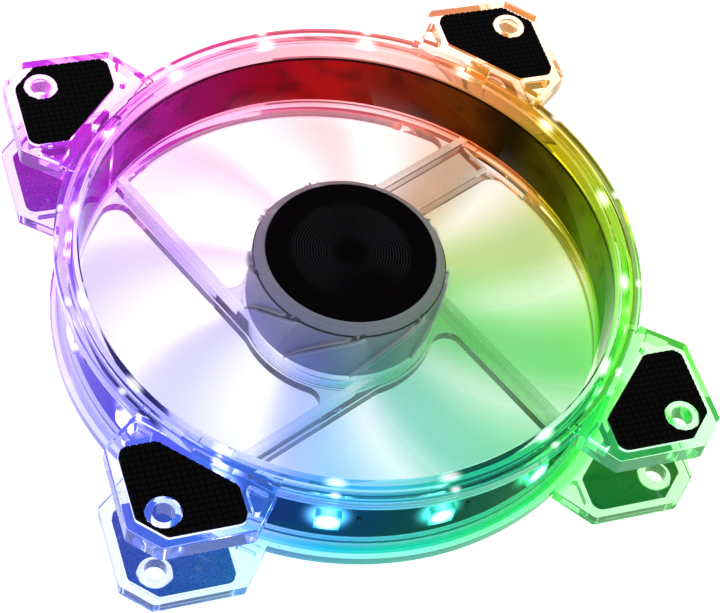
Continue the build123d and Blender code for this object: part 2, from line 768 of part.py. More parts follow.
def all_parts():
    """Every node and its solid or solids."""
    parts = {
        "rear_frame": rear_frame(),
        "front_frame": front_frame(),
        "led_strip": led_strip(),
        "strip_resistors": strip_resistors(),
        "impeller": impeller(),
        "hub_label": hub_label(),
        "rotor_yoke": rotor_yoke(),
        "rotor_magnet": rotor_magnet(),
        "shaft": shaft(),
        "retaining_clip": retaining_clip(),
        "bearing_sleeve": bearing_sleeve(),
        "thrust_pad": thrust_pad(),
        "oil_seal": oil_seal(),
        "stator_core": stator_core(),
        "upper_insulator": insulator(
            CORE_TOP, CORE_TOP + INSULATOR_THICK,
            CORE_TOP, CORE_TOP + INSULATOR_THICK + GUARD_HEIGHT),
        "lower_insulator": insulator(
            CORE_BOTTOM - INSULATOR_THICK, CORE_BOTTOM,
            CORE_BOTTOM - INSULATOR_THICK - GUARD_HEIGHT, CORE_BOTTOM),
        "motor_board": motor_board(),
        "driver_chip": driver_chip(),
        "board_capacitor": board_capacitor(),
        "board_resistors": board_resistors(),
        "rear_label": rear_label(),
    }
    front_pad = corner_pad(FAN_DEPTH - PAD_THICK, FAN_DEPTH)
    rear_pad = corner_pad(0, PAD_THICK)
    for number, angle in enumerate(corner_angles(), start=1):
        parts[f"front_pad_{number}"] = Rot(0, 0, angle) * front_pad
        parts[f"rear_pad_{number}"] = Rot(0, 0, angle) * rear_pad
    for number in range(POLE_COUNT):
        parts[f"coil_{number + 1}"] = coil(number)
    for number in range(LED_COUNT):
        parts[f"led_{number + 1:02d}"] = led(number)
    return parts


os.makedirs("parts", exist_ok=True)
for name, shape in all_parts().items():
    export_step(shape, f"parts/{name}.step")
    print(name, round(shape.volume, 2))
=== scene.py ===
import math

import bmesh
import bpy
from mathutils import Matrix, Vector


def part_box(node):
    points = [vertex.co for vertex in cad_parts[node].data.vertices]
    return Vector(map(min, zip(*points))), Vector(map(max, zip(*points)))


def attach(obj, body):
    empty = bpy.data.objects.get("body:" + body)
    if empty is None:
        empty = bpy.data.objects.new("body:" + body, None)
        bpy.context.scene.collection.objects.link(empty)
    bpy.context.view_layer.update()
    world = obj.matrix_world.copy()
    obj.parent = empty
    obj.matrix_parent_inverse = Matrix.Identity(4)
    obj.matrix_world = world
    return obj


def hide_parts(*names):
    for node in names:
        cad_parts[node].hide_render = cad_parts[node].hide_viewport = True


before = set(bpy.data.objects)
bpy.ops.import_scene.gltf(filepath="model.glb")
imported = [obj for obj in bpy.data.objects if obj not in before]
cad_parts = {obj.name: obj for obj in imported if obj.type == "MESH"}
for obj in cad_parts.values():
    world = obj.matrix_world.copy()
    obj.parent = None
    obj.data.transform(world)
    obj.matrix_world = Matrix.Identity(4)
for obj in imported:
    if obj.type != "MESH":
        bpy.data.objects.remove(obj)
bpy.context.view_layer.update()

MM = 0.001

# ---- places read from the frame, in millimetres ----
led_low, led_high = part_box("led_01")
LED_HEIGHT = (led_low.z + led_high.z) / 2 / MM
STRIP_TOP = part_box("led_strip")[1].z / MM
FRONT_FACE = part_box("front_frame")[1].z / MM

# ---- the lights round the strip ----
LED_COUNT = 16
LED_FIRST = 2.5            # direction of the first light, in degrees
LED_PITCH = 360.0 / LED_COUNT

# ---- sizes of the fan's own design, in millimetres ----
LED_RADIUS = 57.77         # outer face of a light
LENS_RADIUS = 1.9
LENS_RISE = 0.2
LENS_SINK = 0.25           # how far the edge of a lens lies below the light's outer face
LENS_SIDES = 24
LENS_SLOPES = (0.0, 0.3, 0.6, 0.9, 1.2, math.pi / 2)
STRIP_RADIUS = 56.25       # middle of the strip's thickness
RING_RADIUS = 60.0
DUCT_RADIUS = 55.0
DUCT_FOOT = 57.0           # where the duct's foot ends and the rear flange starts
UNDER_STRIP = 4.2          # the light pools below this height
THIN_WALLS = ((54.9, 56.2), (57.9, 59.0))     # the duct's wall and the skirt, distance from the axis
THIN_LOW = 3.0             # both are thin between these heights
THIN_HIGH = 20.3
SKIRT_ROOT = 58.6          # where the skirt shows through the ring's front
SKIRT_ROOT_HALF = 0.75     # half the width of that line
LIP_SPOT = (56.3, 3.6, 1.5)     # a light's spot on the duct's lip: place, half width, half height
RING_SPOT = (59.2, 1.7, 1.0)    # its spot on the outer ring
HUB_RADIUS = 20.02         # anything of the impeller outside it is a blade
HUB_STEP = 20.9            # height of the fine step round the hub
BLADE_LOW = 7.6            # the blades lie between these heights
BLADE_HIGH = 21.6
LABEL_RINGS = 11.0         # turned rings on the label, in radians of a wave per millimetre
PAD_STUD = 1.3             # pitch of the moulded squares on a pad
PAD_GROOVE = 0.26          # depth of the grooves between them
PAD_SLOPE = 0.2            # run from the bottom of a groove to the top of a square

# ---- looks ----
SOLID_IOR = 1.47
THIN_IOR = 1.05            # thin walls hardly bend or mirror anything
WHITE = (1, 1, 1)
# grey-brown painted where the struts look shaded
STRUT_SHADE_COLOUR = (0.38, 0.34, 0.32)
REAR_SHIFT = 0.03          # how much further round the rear face's light comes from, in turns
REAR_LOW = 3.0             # height where that shift is whole, and where it is gone
REAR_HIGH = 9.0
SOFT_EDGE = 0.4            # half the width of the change from one zone of the plastic to the next
REAR_PAD_LIGHT = (0.4, 0.8, 0.6, 0.09)     # how much light the bonded sides of rear pads 1 to 4 show

# ---- the rainbow round the frame: direction in degrees, colour of the light there ----
RAINBOW = (
    (0, (0.42, 0.62, 0.02)),
    (20, (0.56, 0.48, 0.01)),
    (42, (0.88, 0.40, 0.05)),
    (62, (0.94, 0.24, 0.18)),
    (85, (0.95, 0.14, 0.26)),
    (108, (0.90, 0.05, 0.42)),
    (135, (0.68, 0.03, 0.82)),
    (158, (0.40, 0.08, 0.95)),
    (185, (0.28, 0.18, 0.95)),
    (212, (0.13, 0.14, 0.94)),
    (234, (0.06, 0.22, 0.94)),
    (252, (0.01, 0.48, 0.82)),
    (276, (0.01, 0.62, 0.46)),
    (298, (0.03, 0.66, 0.26)),
    (318, (0.04, 0.69, 0.09)),
    (340, (0.20, 0.74, 0.03)),
)

# ---- share of the lights' colour painted into the clear frame: direction, on flat faces, along walls ----
PAINTED_LIGHT_DEPTH = (
    (0, 0.70, 0.95), (20, 0.80, 1.00), (42, 0.44, 0.80), (62, 0.24, 0.45), (110, 0.22, 0.42),
    (135, 0.32, 0.62), (180, 0.20, 0.48), (225, 0.16, 0.42), (252, 0.48, 0.85), (285, 0.60, 0.92),
    (315, 0.62, 0.92),
)

# ---- painted light and shade on the struts in the duct: direction, share of grey-brown shade, depth of colour ----
STRUT_LIGHT_AND_SHADE = (
    (0, 0.5, 0.5), (45, 0.9, 1.2), (95, 0.4, 0.5), (140, 0.1, 1.0), (225, 0.3, 0.8), (255, 0.1, 0.8),
    (315, 0.3, 0.7),
)

# ---- light of the strip's dark outer side: direction, share of the colour there ----
STRIP_SHADE = (
    (0, 0.30), (60, 0.25), (135, 0.40), (180, 0.75), (215, 0.75), (240, 0.20), (265, 0.15), (300, 0.24),
    (330, 0.36),
)

# ---- the strip's inner side, seen through the duct wall: direction, light that leaks through it ----
STRIP_LEAK = (
    (0, (0.24, 0.34, 0.01)), (20, (0.11, 0.11, 0.004)), (33, (0.015, 0.012, 0.003)),
    (46, (0.12, 0.045, 0.004)), (62, (0.17, 0.015, 0.006)), (78, (0.40, 0.008, 0.008)),
    (92, (0.28, 0.002, 0.02)), (106, (0.27, 0.001, 0.10)), (120, (0.38, 0.001, 0.28)),
    (138, (0.48, 0.01, 0.55)), (160, (0.30, 0.08, 0.75)), (212, (0.03, 0.05, 0.50)),
    (254, (0.005, 0.22, 0.30)), (298, (0.005, 0.30, 0.07)), (330, (0.10, 0.38, 0.02)),
)

# ---- how much of the lights' colour is painted on the turning blades: direction, share ----
BLADE_LIGHT_SHARE = (
    (0, 0.50), (30, 0.38), (60, 0.14), (140, 0.14), (185, 0.22), (220, 0.22), (255, 0.42), (290, 0.52),
    (330, 0.60),
)


# ---------------------------------------------------------------- node helpers

class Tree:
    """A material's node tree with short ways to add nodes and join them."""

    def __init__(self, name):
        self.material = bpy.data.materials.new(name)
        self.material.use_nodes = True
        self.nodes = self.material.node_tree.nodes
        self.links = self.material.node_tree.links
        self.shader = self.nodes["Principled BSDF"]
        self.output = self.nodes["Material Output"]

    def feed(self, socket, value):
        if isinstance(value, bpy.types.NodeSocket):
            self.links.new(value, socket)
        else:
            socket.default_value = value

    def maths(self, operation, a, b=0.0, c=0.0, clamp=False):
        node = self.nodes.new("ShaderNodeMath")
        node.operation = operation
        node.use_clamp = clamp
        for socket, value in zip(node.inputs, (a, b, c)):
            self.feed(socket, value)
        return node.outputs[0]

    def step(self, value, low, high):
        """0 below low, 1 above high, smooth between."""
        node = self.nodes.new("ShaderNodeMapRange")
        node.interpolation_type = "SMOOTHSTEP"
        self.feed(node.inputs["Value"], value)
        node.inputs["From Min"].default_value = low
        node.inputs["From Max"].default_value = high
        return node.outputs["Result"]

    def mix(self, factor, a, b, blend="MIX"):
        node = self.nodes.new("ShaderNodeMix")
        node.data_type = "RGBA"
        node.blend_type = blend
        colours = [s for s in node.inputs if s.type == "RGBA"]
        self.feed(node.inputs[0], factor)
        self.feed(colours[0], rgba(a))
        self.feed(colours[1], rgba(b))
        return [s for s in node.outputs if s.type == "RGBA"][0]

    def ramp(self, factor, stops):
        node = self.nodes.new("ShaderNodeValToRGB")
        node.color_ramp.interpolation = "EASE"
        elements = node.color_ramp.elements
        while len(elements) < len(stops):
            elements.new(0.5)
        for element, (place, colour) in zip(elements, stops):
            element.position = place
            element.color = rgba(colour)
        self.feed(node.inputs[0], factor)
        return node.outputs["Color"]

    def noise(self, scale, detail):
        node = self.nodes.new("ShaderNodeTexNoise")
        node.inputs["Scale"].default_value = scale
        node.inputs["Detail"].default_value = detail
        self.feed(node.inputs["Vector"], self.position())
        return node.outputs["Fac"]

    def position(self):
        return self.nodes.new("ShaderNodeNewGeometry").outputs["Position"]

    def millimetres(self):
        """x, y and z in the fan's frame, in millimetres."""
        scaled = self.nodes.new("ShaderNodeVectorMath")
        scaled.operation = "SCALE"
        scaled.inputs["Scale"].default_value = 1 / MM
        self.feed(scaled.inputs[0], self.position())
        split = self.nodes.new("ShaderNodeSeparateXYZ")
        self.feed(split.inputs[0], scaled.outputs[0])
        return split.outputs[0], split.outputs[1], split.outputs[2]

    def around(self):
        """Direction from the axis as a share of a turn, distance from the axis and height."""
        x, y, z = self.millimetres()
        turn = self.maths("DIVIDE", self.maths("ARCTAN2", y, x), 2 * math.pi)
        turn = self.maths("FRACT", self.maths("ADD", turn, 1.0))
        squares = self.maths("ADD", self.maths("MULTIPLY", x, x), self.maths("MULTIPLY", y, y))
        return turn, self.maths("SQRT", squares), z

    def facing_up(self):
        """How far the surface faces up: 1 on a top face, -1 on an underside."""
        split = self.nodes.new("ShaderNodeSeparateXYZ")
        self.feed(split.inputs[0], self.nodes.new("ShaderNodeNewGeometry").outputs["Normal"])
        return split.outputs[2]

    def bump(self, height, distance):
        node = self.nodes.new("ShaderNodeBump")
        node.inputs["Distance"].default_value = distance
        node.inputs["Strength"].default_value = 1.0
        self.feed(node.inputs["Height"], height)
        self.feed(self.shader.inputs["Normal"], node.outputs[0])


def rgba(colour):
    if isinstance(colour, bpy.types.NodeSocket) or len(colour) == 4:
        return colour
    return (*colour, 1.0)


def around_ramp(tree, turn, table):
    """A colour, or a grey level, read from a table of directions."""
    stops = []
    for direction, value in table:
        colour = value if isinstance(value, tuple) else (value, value, value)
        stops.append((direction / 360.0, colour))
    stops.append((1.0, stops[0][1]))
    return tree.ramp(turn, stops)


def rainbow(tree, turn, z):
    """Colour of the light at a direction. Near the rear face it comes from a little further round."""
    shift = tree.maths("MULTIPLY", tree.step(z, REAR_HIGH, REAR_LOW), REAR_SHIFT)
    return around_ramp(tree, tree.maths("FRACT", tree.maths("ADD", turn, shift)), RAINBOW)


def from_nearest_led(tree, turn):
    """Arc from the nearest light's direction, in millimetres at the ring. The 8 whole pitches keep the
    number above zero."""
    share = tree.maths("MULTIPLY", tree.maths("SUBTRACT", turn, LED_FIRST / 360.0), LED_COUNT)
    share = tree.maths("SUBTRACT", tree.maths("FRACT", tree.maths("ADD", share, 8 + 0.5)), 0.5)
    return tree.maths("ABSOLUTE", tree.maths("MULTIPLY", share, math.radians(LED_PITCH) * RING_RADIUS))


def from_led_centre(tree, turn, z):
    """Distance from the centre of the nearest light, in millimetres."""
    across = from_nearest_led(tree, turn)
    up = tree.maths("SUBTRACT", z, LED_HEIGHT)
    squares = tree.maths("ADD", tree.maths("MULTIPLY", across, across), tree.maths("MULTIPLY", up, up))
    return tree.maths("SQRT", squares)


# ---------------------------------------------------------------- materials

def soft_oval(tree, across, radius, middle, half_width, half_height):
    """1 in the middle of an oval on the ring's front, 0 outside it."""
    wide = tree.maths("DIVIDE", across, half_width)
    high = tree.maths("DIVIDE", tree.maths("SUBTRACT", radius, middle), half_height)
    squares = tree.maths("ADD", tree.maths("MULTIPLY", wide, wide), tree.maths("MULTIPLY", high, high))
    return tree.step(tree.maths("SQRT", squares), 1.0, 0.2)


def ring_spots(tree, turn, radius, z):
    """Where each light shows on the ring's front: wide on the duct's lip, small on the outer ring."""
    across = from_nearest_led(tree, turn)
    on_lip = soft_oval(tree, across, radius, *LIP_SPOT)
    on_ring = soft_oval(tree, across, radius, *RING_SPOT)
    near_front = tree.step(z, FRONT_FACE - 2.6, FRONT_FACE - 1.0)
    return tree.maths("MULTIPLY", tree.maths("MAXIMUM", on_lip, on_ring), near_front)


def plastic_zones(tree, radius, z):
    """How far a point lies inside the duct, on an ear, on the rear flange and at the duct's foot, each
    from 0 to 1."""
    inside = tree.step(radius, DUCT_RADIUS, DUCT_RADIUS - 1.5)
    on_ear = tree.step(radius, RING_RADIUS + 0.5, RING_RADIUS + 2.0)
    low = tree.step(z, UNDER_STRIP + 1.0, UNDER_STRIP)
    flange = tree.step(radius, DUCT_FOOT - SOFT_EDGE, DUCT_FOOT + SOFT_EDGE)
    flange = tree.maths("SUBTRACT", tree.maths("MULTIPLY", low, flange), on_ear, clamp=True)
    outside = tree.maths("SUBTRACT", 1.0, inside)
    foot = tree.step(radius, DUCT_FOOT + SOFT_EDGE, DUCT_FOOT - SOFT_EDGE)
    foot = tree.maths("MULTIPLY", foot, outside)
    return inside, on_ear, flange, tree.maths("MULTIPLY", low, foot)


def plastic_depth(tree, turn, inside, on_ear, flange, foot):
    """How much of the lights' painted colour shows: little on flat faces, more along walls. Comes with
    the share along walls on its own."""
    face = around_ramp(tree, turn, [row[:2] for row in PAINTED_LIGHT_DEPTH])
    face = tree.mix(1.0, face, tree.maths("MULTIPLY_ADD", on_ear, -0.4, 1.0), "MULTIPLY")
    wall = around_ramp(tree, turn, [row[::2] for row in PAINTED_LIGHT_DEPTH])
    wall = tree.mix(1.0, wall, tree.maths("MULTIPLY_ADD", on_ear, -0.3, 1.0), "MULTIPLY")
    depth = tree.mix(tree.step(tree.maths("ABSOLUTE", tree.facing_up()), 0.9, 0.2), face, wall)
    strut = around_ramp(tree, turn, [row[::2] for row in STRUT_LIGHT_AND_SHADE])
    depth = tree.mix(1.0, depth, tree.mix(inside, WHITE, strut), "MULTIPLY")
    depth = tree.maths("MULTIPLY", depth, tree.maths("MULTIPLY_ADD", foot, -0.8, 1.0))
    return tree.maths("MULTIPLY_ADD", flange, 0.15, depth, clamp=True), wall


def skirt_shade_line(tree, radius, z, wall_depth):
    """Painted dark shade line on the ring's front over the skirt, strongest where the walls look deepest.
    """
    away = tree.maths("ABSOLUTE", tree.maths("SUBTRACT", radius, SKIRT_ROOT))
    across = tree.step(away, SKIRT_ROOT_HALF, SKIRT_ROOT_HALF - 0.35)
    line = tree.maths("MULTIPLY", across, tree.step(z, FRONT_FACE - 1.0, FRONT_FACE - 0.4))
    return tree.maths("MULTIPLY", line, tree.maths("POWER", wall_depth, 2.0))


def clear_plastic(name, glow, thin):
    """Clear moulded plastic that carries the coloured light. Thin walls stay clear, to show the strip."""
    tree = Tree(name)
    turn, radius, z = tree.around()
    inside, on_ear, flange, foot = plastic_zones(tree, radius, z)
    # painted shade: inside the duct a grey-brown takes the place of part of the lights' colour
    grey = tree.maths("MULTIPLY", inside, around_ramp(tree, turn, [row[:2] for row in STRUT_LIGHT_AND_SHADE]))
    hue = tree.mix(grey, rainbow(tree, turn, z), STRUT_SHADE_COLOUR)
    depth, wall_depth = plastic_depth(tree, turn, inside, on_ear, flange, foot)
    # base colour: the lights' painted colour, with a painted dark shade line over the skirt
    root = skirt_shade_line(tree, radius, z, wall_depth)
    shade_line_colour = tree.mix(1.0, hue, (0.12, 0.12, 0.12), "MULTIPLY")
    tree.feed(tree.shader.inputs["Base Color"], tree.mix(root, tree.mix(depth, WHITE, hue), shade_line_colour))
    tree.shader.inputs["Transmission Weight"].default_value = 1.0
    tree.shader.inputs["IOR"].default_value = THIN_IOR if thin else SOLID_IOR
    tree.shader.inputs["Roughness"].default_value = 0.03
    if thin:
        tree.shader.inputs["Specular Tint"].default_value = (0.12, 0.12, 0.12, 1)
        return tree.material
    # painted glow in the lights' colour: weaker inside the duct, stronger on the rear flange, cut along
    # the shade line and at the duct's foot, with white painted spots at each light
    steady = tree.maths("MULTIPLY_ADD", inside, -0.8 * glow, glow)
    steady = tree.maths("MULTIPLY_ADD", flange, 0.6 * glow, steady)
    glow_cut = tree.maths("MAXIMUM", root, foot)
    steady = tree.maths("MULTIPLY", steady, tree.maths("MULTIPLY_ADD", glow_cut, -0.9, 1.0))
    spot = ring_spots(tree, turn, radius, z)
    tree.feed(tree.shader.inputs["Emission Color"], tree.mix(spot, hue, WHITE))
    tree.feed(tree.shader.inputs["Emission Strength"], tree.maths("MULTIPLY_ADD", spot, 0.7, steady))
    return tree.material


def strip_film():
    """The strip's flexible board: dark outside, and tinted inside by the light that leaks through it."""
    tree = Tree("strip_film")
    turn, radius, z = tree.around()
    hue = rainbow(tree, turn, z)
    smudge = tree.step(tree.noise(160, 5), 0.45, 0.72)
    inner = around_ramp(tree, turn, STRIP_LEAK)
    inner = tree.mix(tree.maths("MULTIPLY", smudge, 0.55), inner, (0.008, 0.006, 0.008))
    # painted shadow of the ledge along the top of the inner side
    inner = tree.mix(tree.step(z, STRIP_TOP - 1.0, STRIP_TOP - 0.2), inner, (0.004, 0.003, 0.004))
    side = tree.step(radius, STRIP_RADIUS - 0.03, STRIP_RADIUS + 0.03)
    outer = tree.mix(1.0, hue, around_ramp(tree, turn, STRIP_SHADE), "MULTIPLY")
    colour = tree.mix(side, inner, outer)
    tree.feed(tree.shader.inputs["Base Color"], tree.mix(0.9, colour, (0.003, 0.003, 0.003)))
    tree.shader.inputs["Roughness"].default_value = 0.6
    tree.shader.inputs["Specular IOR Level"].default_value = 0.0
    # the board glows with its painted light colour, whiter and brighter in a painted halo round each
    # light
    halo = tree.maths("MULTIPLY", tree.step(from_led_centre(tree, turn, z), 7.5, 2.0), side)
    halo = tree.maths("POWER", halo, 2.0)
    tree.feed(tree.shader.inputs["Emission Color"], tree.mix(halo, colour, tree.mix(0.35, hue, WHITE)))
    tree.feed(tree.shader.inputs["Emission Strength"], tree.maths("MULTIPLY_ADD", halo, 3.0, 1.0))
    return tree.material


def led_body():
    """White package, its colour tinted with its own painted light, brightest round its lens."""
    tree = Tree("led_package")
    turn, _, z = tree.around()
    hue = rainbow(tree, turn, z)
    grain = tree.noise(900, 2)
    tinted = tree.maths("MULTIPLY_ADD", grain, 0.3, 0.5)
    tree.feed(tree.shader.inputs["Base Color"], tree.mix(tinted, (0.7, 0.7, 0.7), hue))
    tree.shader.inputs["Roughness"].default_value = 0.4
    near = tree.step(from_led_centre(tree, turn, z), 3.4, 1.7)
    whiter = tree.maths("MULTIPLY_ADD", near, 0.7, 0.15)
    tree.feed(tree.shader.inputs["Emission Color"], tree.mix(whiter, hue, WHITE))
    tree.feed(tree.shader.inputs["Emission Strength"], tree.maths("MULTIPLY_ADD", near, 6.0, 0.9))
    return tree.material


def led_lens():
    """Clear dome, all but burnt out by the light under it."""
    tree = Tree("led_lens")
    turn, _, z = tree.around()
    hue = rainbow(tree, turn, z)
    tree.feed(tree.shader.inputs["Base Color"], tree.mix(0.7, hue, WHITE))
    tree.shader.inputs["Roughness"].default_value = 0.15
    tree.feed(tree.shader.inputs["Emission Color"], tree.mix(0.85, hue, WHITE))
    tree.shader.inputs["Emission Strength"].default_value = 12.0
    return tree.material


def hub_colour(tree, z, hue):
    """Milky grey, paler towards the front, with a little of the ring's coloured light painted on below.
    """
    grey = tree.mix(tree.step(z, 9.0, 23.0), (0.18, 0.21, 0.25), (0.34, 0.33, 0.37))
    colour = tree.mix(tree.maths("MULTIPLY_ADD", tree.step(z, 20.0, 9.0), 0.2, 0.12), grey, hue)
    return tree.mix(tree.maths("MULTIPLY", tree.noise(80, 4), 0.25), colour, (0.55, 0.55, 0.6))


def frosted_blades():
    """Thin milky plastic with a little of the ring's light painted on as colour, most in the middle of a
    blade.
    """
    tree = Tree("frosted_blades")
    turn, radius, z = tree.around()
    hue = rainbow(tree, turn, z)
    trailing = tree.step(z, BLADE_LOW, BLADE_LOW + 6.0)
    leading = tree.step(z, BLADE_HIGH, BLADE_HIGH - 6.0)
    middle = tree.maths("MULTIPLY", trailing, leading)
    tint = tree.mix(1.0, around_ramp(tree, turn, BLADE_LIGHT_SHARE), middle, "MULTIPLY")
    # the roots by the hub are painted black with a glow in the hub's colour, so they show no light or
    # shade of their own
    root = tree.step(radius, HUB_RADIUS + 1.2, HUB_RADIUS + 0.3)
    root = tree.maths("MULTIPLY", root, tree.step(z, HUB_STEP, HUB_STEP - 0.8))
    colour = tree.mix(0.35, (0.95, 0.95, 0.97), hue)
    colour = tree.mix(tree.maths("MULTIPLY", tree.noise(60, 3), 0.2), colour, WHITE)
    tree.feed(tree.shader.inputs["Base Color"], tree.mix(root, colour, (0.02, 0.02, 0.02)))
    tree.shader.inputs["Roughness"].default_value = 0.45
    tree.shader.inputs["Specular IOR Level"].default_value = 0.2
    # painted glow: the blades in their painted colour, the roots in the hub's
    tree.feed(tree.shader.inputs["Emission Color"], tree.mix(root, colour, hub_colour(tree, z, hue)))
    tree.feed(tree.shader.inputs["Emission Strength"], tree.maths("MULTIPLY_ADD", root, 0.06, 0.4))
    clear = tree.nodes.new("ShaderNodeBsdfTransparent")
    tree.feed(clear.inputs["Color"], tree.mix(tint, WHITE, hue))
    milk = tree.maths("MULTIPLY_ADD", middle, 0.05, 0.03)
    milk = tree.maths("MULTIPLY", milk, tree.step(radius, 50.0, 38.0))
    both = tree.nodes.new("ShaderNodeMixShader")
    tree.links.new(tree.maths("MAXIMUM", tree.maths("MULTIPLY", root, 0.85), milk), both.inputs[0])
    tree.links.new(clear.outputs[0], both.inputs[1])
    tree.links.new(tree.shader.outputs[0], both.inputs[2])
    tree.links.new(both.outputs[0], tree.output.inputs["Surface"])
    return tree.material


def frosted_hub():
    """The hub's milky wall, with the dark line of its step."""
    tree = Tree("frosted_hub")
    turn, _, z = tree.around()
    low_edge = tree.step(z, HUB_STEP - 0.25, HUB_STEP - 0.05)
    high_edge = tree.step(z, HUB_STEP + 0.25, HUB_STEP + 0.05)
    line = tree.maths("MULTIPLY", low_edge, high_edge)
    colour = tree.mix(line, hub_colour(tree, z, rainbow(tree, turn, z)), (0.02, 0.02, 0.025))
    tree.feed(tree.shader.inputs["Base Color"], colour)
    tree.shader.inputs["Roughness"].default_value = 0.38
    tree.shader.inputs["Specular IOR Level"].default_value = 0.3
    tree.shader.inputs["Alpha"].default_value = 0.9
    return tree.material


def gloss_label():
    """Black gloss film with turned rings; their dim light lines are a painted glint."""
    tree = Tree("gloss_label")
    _, radius, _ = tree.around()
    rings = tree.maths("SINE", tree.maths("MULTIPLY", radius, LABEL_RINGS))
    ring_glint = tree.maths("MULTIPLY", tree.step(rings, 0.3, 1.0), tree.step(tree.noise(40, 1), 0.35, 0.65))
    zone = tree.maths("MULTIPLY", tree.step(radius, 13.0, 11.5), tree.step(radius, 2.0, 5.0))
    ring_glint = tree.maths("MULTIPLY", ring_glint, zone)
    colour = tree.mix(ring_glint, (0.003, 0.002, 0.003), (0.035, 0.035, 0.04))
    tree.feed(tree.shader.inputs["Base Color"], colour)
    tree.feed(tree.shader.inputs["Roughness"], tree.maths("MULTIPLY_ADD", ring_glint, 0.12, 0.16))
    tree.shader.inputs["Specular IOR Level"].default_value = 0.05
    return tree.material


def rubber(name, back_light):
    """Black moulded rubber. Its bonded back shows the light of the clear plate over it."""
    tree = Tree(name)
    turn, _, _ = tree.around()
    hue = around_ramp(tree, turn, RAINBOW)
    grain = tree.noise(1400, 3)
    black = tree.mix(grain, (0.0015, 0.001, 0.0018), (0.006, 0.005, 0.006))
    tree.feed(tree.shader.inputs["Base Color"], black)
    if back_light:
        speckle = tree.step(tree.noise(2600, 3), 0.10, 0.75)
        bonded = tree.mix(tree.maths("MULTIPLY", speckle, back_light), (0.004, 0.002, 0.010), hue)
        inward = tree.step(tree.facing_up(), 0.8, 0.95)
        tree.feed(tree.shader.inputs["Base Color"], tree.mix(inward, black, bonded))
        tree.feed(tree.shader.inputs["Emission Color"], bonded)
        tree.feed(tree.shader.inputs["Emission Strength"], tree.maths("MULTIPLY", inward, 0.6))
    tree.shader.inputs["Roughness"].default_value = 0.72
    tree.shader.inputs["Specular IOR Level"].default_value = 0.06
    tree.bump(grain, 0.00004)
    return tree.material


def plain(name, colour, other, scale, roughness, metallic):
    """One even material that varies a little between two colours."""
    tree = Tree(name)
    grain = tree.noise(scale, 4)
    tree.feed(tree.shader.inputs["Base Color"], tree.mix(grain, colour, other))
    tree.shader.inputs["Roughness"].default_value = roughness
    tree.shader.inputs["Metallic"].default_value = metallic
    return tree.material


def dress(node, material):
    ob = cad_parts[node]
    ob.data.materials.clear()
    ob.data.materials.append(material)
    for face in ob.data.polygons:
        face.material_index = 0


def dress_frame(node, solid, thin):
    """The skirt and the duct's wall between the flanges are thin, so they get a clearer material."""
    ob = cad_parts[node]
    ob.data.materials.clear()
    ob.data.materials.append(solid)
    ob.data.materials.append(thin)
    for face in ob.data.polygons:
        radius = math.hypot(face.center.x, face.center.y) / MM
        upright = abs(face.normal.z) < 0.5 and THIN_LOW < face.center.z / MM < THIN_HIGH
        face.material_index = int(upright and any(low < radius < high for low, high in THIN_WALLS))


def dress_impeller():
    """The blades are thinner than the hub, so they get a clearer material than it."""
    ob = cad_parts["impeller"]
    ob.data.materials.clear()
    ob.data.materials.append(frosted_hub())
    ob.data.materials.append(frosted_blades())
    for face in ob.data.polygons:
        face.material_index = int(math.hypot(face.center.x, face.center.y) > HUB_RADIUS * MM)


# ---------------------------------------------------------------- pieces

def add_object(name, mesh):
    ob = bpy.data.objects.new(name, mesh)
    bpy.context.scene.collection.objects.link(ob)
    return ob


def to_mesh(form, name):
    """The finished mesh of a form, with its faces turned outward."""
    bmesh.ops.recalc_face_normals(form, faces=form.faces)
    mesh = bpy.data.meshes.new(name)
    form.to_mesh(mesh)
    form.free()
    return mesh


def stud_lines(width):
    """Grid lines across a pad: distance in millimetres, and 1 where a stud's top lies on the line."""
    lines = []
    for cell in range(int(width / (PAD_STUD * MM)) + 3):
        start = cell * PAD_STUD
        end = (cell + 1) * PAD_STUD
        lines += [(start, 0), (start + PAD_SLOPE, 1), (end - PAD_SLOPE, 1)]
    return lines


def studded_sheet(form, corner_x, corner_y, lines, face, outward):
    """The studded face on its own, as rows of points."""
    rows = []
    for y, y_raised in lines:
        row = []
        for x, x_raised in lines:
            depth = 0 if x_raised and y_raised else PAD_GROOVE * MM
            row.append(form.verts.new((corner_x + x * MM, corner_y + y * MM, face - outward * depth)))
        rows.append(row)
    for near, far in zip(rows, rows[1:]):
        for j in range(len(lines) - 1):
            form.faces.new((near[j], near[j + 1], far[j + 1], far[j]))
    return rows


def close_behind(form, rows, back):
    """Walls from the edge of the studded face to a flat back."""
    rim = rows[0] + [row[-1] for row in rows[1:]]
    rim += rows[-1][-2::-1] + [row[0] for row in rows[-2:0:-1]]
    floor = [form.verts.new((v.co.x, v.co.y, back)) for v in rim]
    for k in range(len(rim)):
        after = (k + 1) % len(rim)
        form.faces.new((rim[k], floor[k], floor[after], rim[after]))
    form.faces.new(floor)


def studded_slab(low, high, outward):
    """A block over a pad's box, with square studs on the face that points outward (+1 up, -1 down)."""
    form = bmesh.new()
    lines = stud_lines(max(high.x - low.x, high.y - low.y))
    face, back = (high.z, low.z) if outward > 0 else (low.z, high.z)
    rows = studded_sheet(form, low.x - PAD_STUD * MM, low.y - PAD_STUD * MM, lines, face, outward)
    close_behind(form, rows, back - outward * MM)
    return to_mesh(form, "slab")


